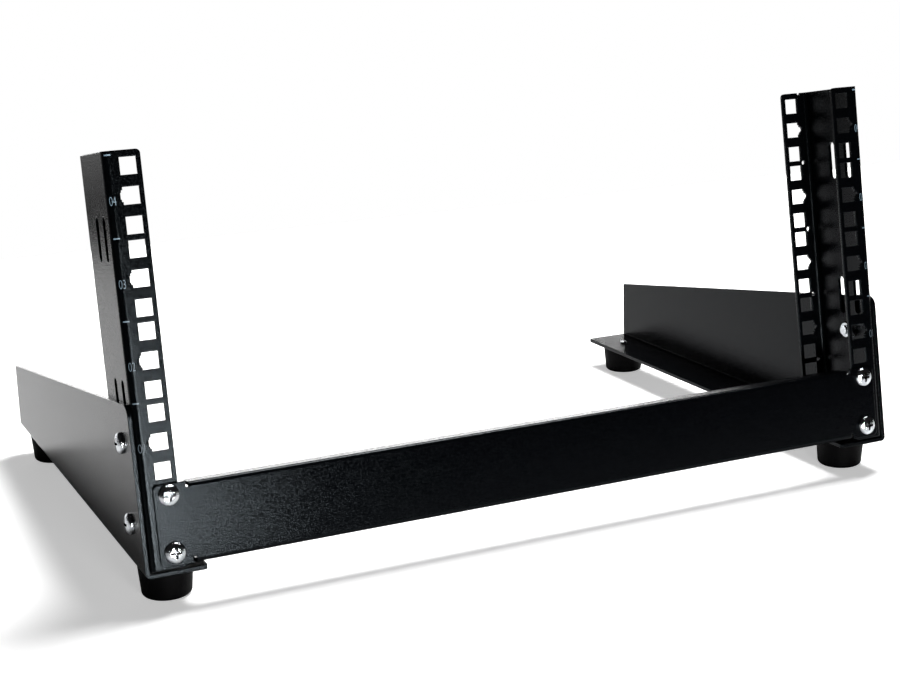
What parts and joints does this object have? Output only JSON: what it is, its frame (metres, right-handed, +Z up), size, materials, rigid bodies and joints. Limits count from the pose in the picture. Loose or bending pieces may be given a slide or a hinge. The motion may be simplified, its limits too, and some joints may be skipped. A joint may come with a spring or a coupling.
{
  "type": "desktop open rack",
  "caption": "Small open 19 inch equipment rack for a desk, with leaning channel posts on tapered base arms and rubber feet",
  "frame": {"origin": "bounding-box bottom centre: on the floor under the middle of the rack", "axes": "X runs across the rack from its left post to its right post, Y runs from the front to the back, Z is up"},
  "size_m": [0.5038, 0.3368, 0.2486],
  "materials": {
    "black_powder_coat": "semi-gloss fine orange peel",
    "zinc_fasteners": "bright zinc plated",
    "rubber": "matte"
  },
  "bodies": {
    "root": {"left_upright": "black_powder_coat", "right_upright": "black_powder_coat", "left_base_arm": "black_powder_coat", "right_base_arm": "black_powder_coat", "front_crossbar": "black_powder_coat", "left_upper_crossbar_screw": "zinc_fasteners", "left_upper_crossbar_nut": "zinc_fasteners", "left_upper_arm_screw": "zinc_fasteners", "left_upper_arm_nut": "zinc_fasteners", "right_upper_crossbar_screw": "zinc_fasteners", "right_upper_crossbar_nut": "zinc_fasteners", "right_upper_arm_screw": "zinc_fasteners", "right_upper_arm_nut": "zinc_fasteners", "left_lower_crossbar_screw": "zinc_fasteners", "left_lower_crossbar_nut": "zinc_fasteners", "left_lower_arm_screw": "zinc_fasteners", "left_lower_arm_nut": "zinc_fasteners", "right_lower_crossbar_screw": "zinc_fasteners", "right_lower_crossbar_nut": "zinc_fasteners", "right_lower_arm_screw": "zinc_fasteners", "right_lower_arm_nut": "zinc_fasteners", "front_left_foot": "rubber", "front_left_foot_screw": "zinc_fasteners", "front_right_foot": "rubber", "front_right_foot_screw": "zinc_fasteners", "rear_left_foot": "rubber", "rear_left_foot_screw": "zinc_fasteners", "rear_right_foot": "rubber", "rear_right_foot_screw": "zinc_fasteners"}
  },
  "joints": []
}
